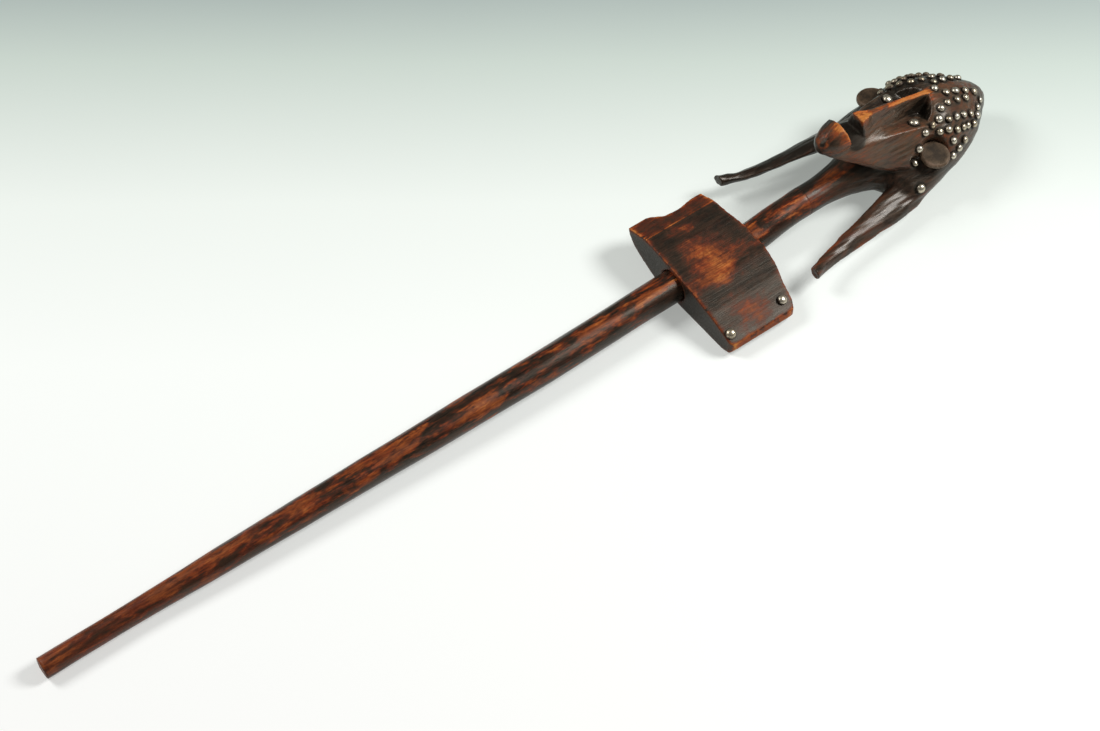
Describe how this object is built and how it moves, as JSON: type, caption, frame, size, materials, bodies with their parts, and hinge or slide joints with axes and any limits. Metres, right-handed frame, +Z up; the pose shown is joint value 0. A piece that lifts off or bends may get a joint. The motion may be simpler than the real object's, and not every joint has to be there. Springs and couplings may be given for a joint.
{
  "type": "judicial wand",
  "caption": "Carved wooden staff with a tapered shaft, a cross block, a horned animal mask head and rows of domed tacks.",
  "frame": {"origin": "under the middle of the wand's box, on the surface that it lies on", "axes": "+X along the shaft from the butt to the crown of the head, +Y to the short end of the block, +Z up, the way the face looks"},
  "size_m": [0.884, 0.1392, 0.0985],
  "materials": {
    "shaft_wood": "dark handled patina worn to orange-brown streaks, semi-gloss",
    "block_wood": "dark waxy patina worn to orange-brown in the middle and along the edges",
    "head_wood": "dark glossy patina, worn on the nose, brow and horns",
    "ear_wood": "matte grey-brown cut face",
    "tack_brass": "pale rubbed brass domes"
  },
  "bodies": {
    "root": {"shaft": "shaft_wood", "cross_block": "block_wood", "head": "head_wood", "left_ear": "ear_wood", "right_ear": "ear_wood", "block_tack_1": "tack_brass", "block_tack_2": "tack_brass", "face_tack_1": "tack_brass", "face_tack_2": "tack_brass", "face_tack_3": "tack_brass", "crown_tack_1": "tack_brass", "crown_tack_2": "tack_brass", "crown_tack_3": "tack_brass", "crown_tack_4": "tack_brass", "crown_tack_5": "tack_brass", "crown_tack_6": "tack_brass", "crown_tack_7": "tack_brass", "crown_tack_8": "tack_brass", "crown_tack_9": "tack_brass", "crown_tack_10": "tack_brass", "crown_tack_11": "tack_brass", "crown_tack_12": "tack_brass", "crown_tack_13": "tack_brass", "crown_tack_14": "tack_brass", "crown_tack_15": "tack_brass", "crown_tack_16": "tack_brass", "crown_tack_17": "tack_brass", "crown_tack_18": "tack_brass", "crown_tack_19": "tack_brass", "crown_tack_20": "tack_brass", "crown_tack_21": "tack_brass", "crown_tack_22": "tack_brass", "crown_tack_23": "tack_brass", "crown_tack_24": "tack_brass", "crown_tack_25": "tack_brass", "crown_tack_26": "tack_brass", "crown_tack_27": "tack_brass", "crown_tack_28": "tack_brass", "crown_tack_29": "tack_brass", "crown_tack_30": "tack_brass", "crown_tack_31": "tack_brass", "crown_tack_32": "tack_brass", "crown_tack_33": "tack_brass", "crown_tack_34": "tack_brass", "crown_tack_35": "tack_brass", "crown_tack_36": "tack_brass", "crown_tack_37": "tack_brass", "crown_tack_38": "tack_brass", "crown_tack_39": "tack_brass", "crown_tack_40": "tack_brass", "crown_tack_41": "tack_brass", "crown_tack_42": "tack_brass", "crown_tack_43": "tack_brass", "crown_tack_44": "tack_brass", "crown_tack_45": "tack_brass", "crown_tack_46": "tack_brass", "crown_tack_47": "tack_brass", "crown_tack_48": "tack_brass", "crown_tack_49": "tack_brass", "crown_tack_50": "tack_brass"}
  },
  "joints": []
}
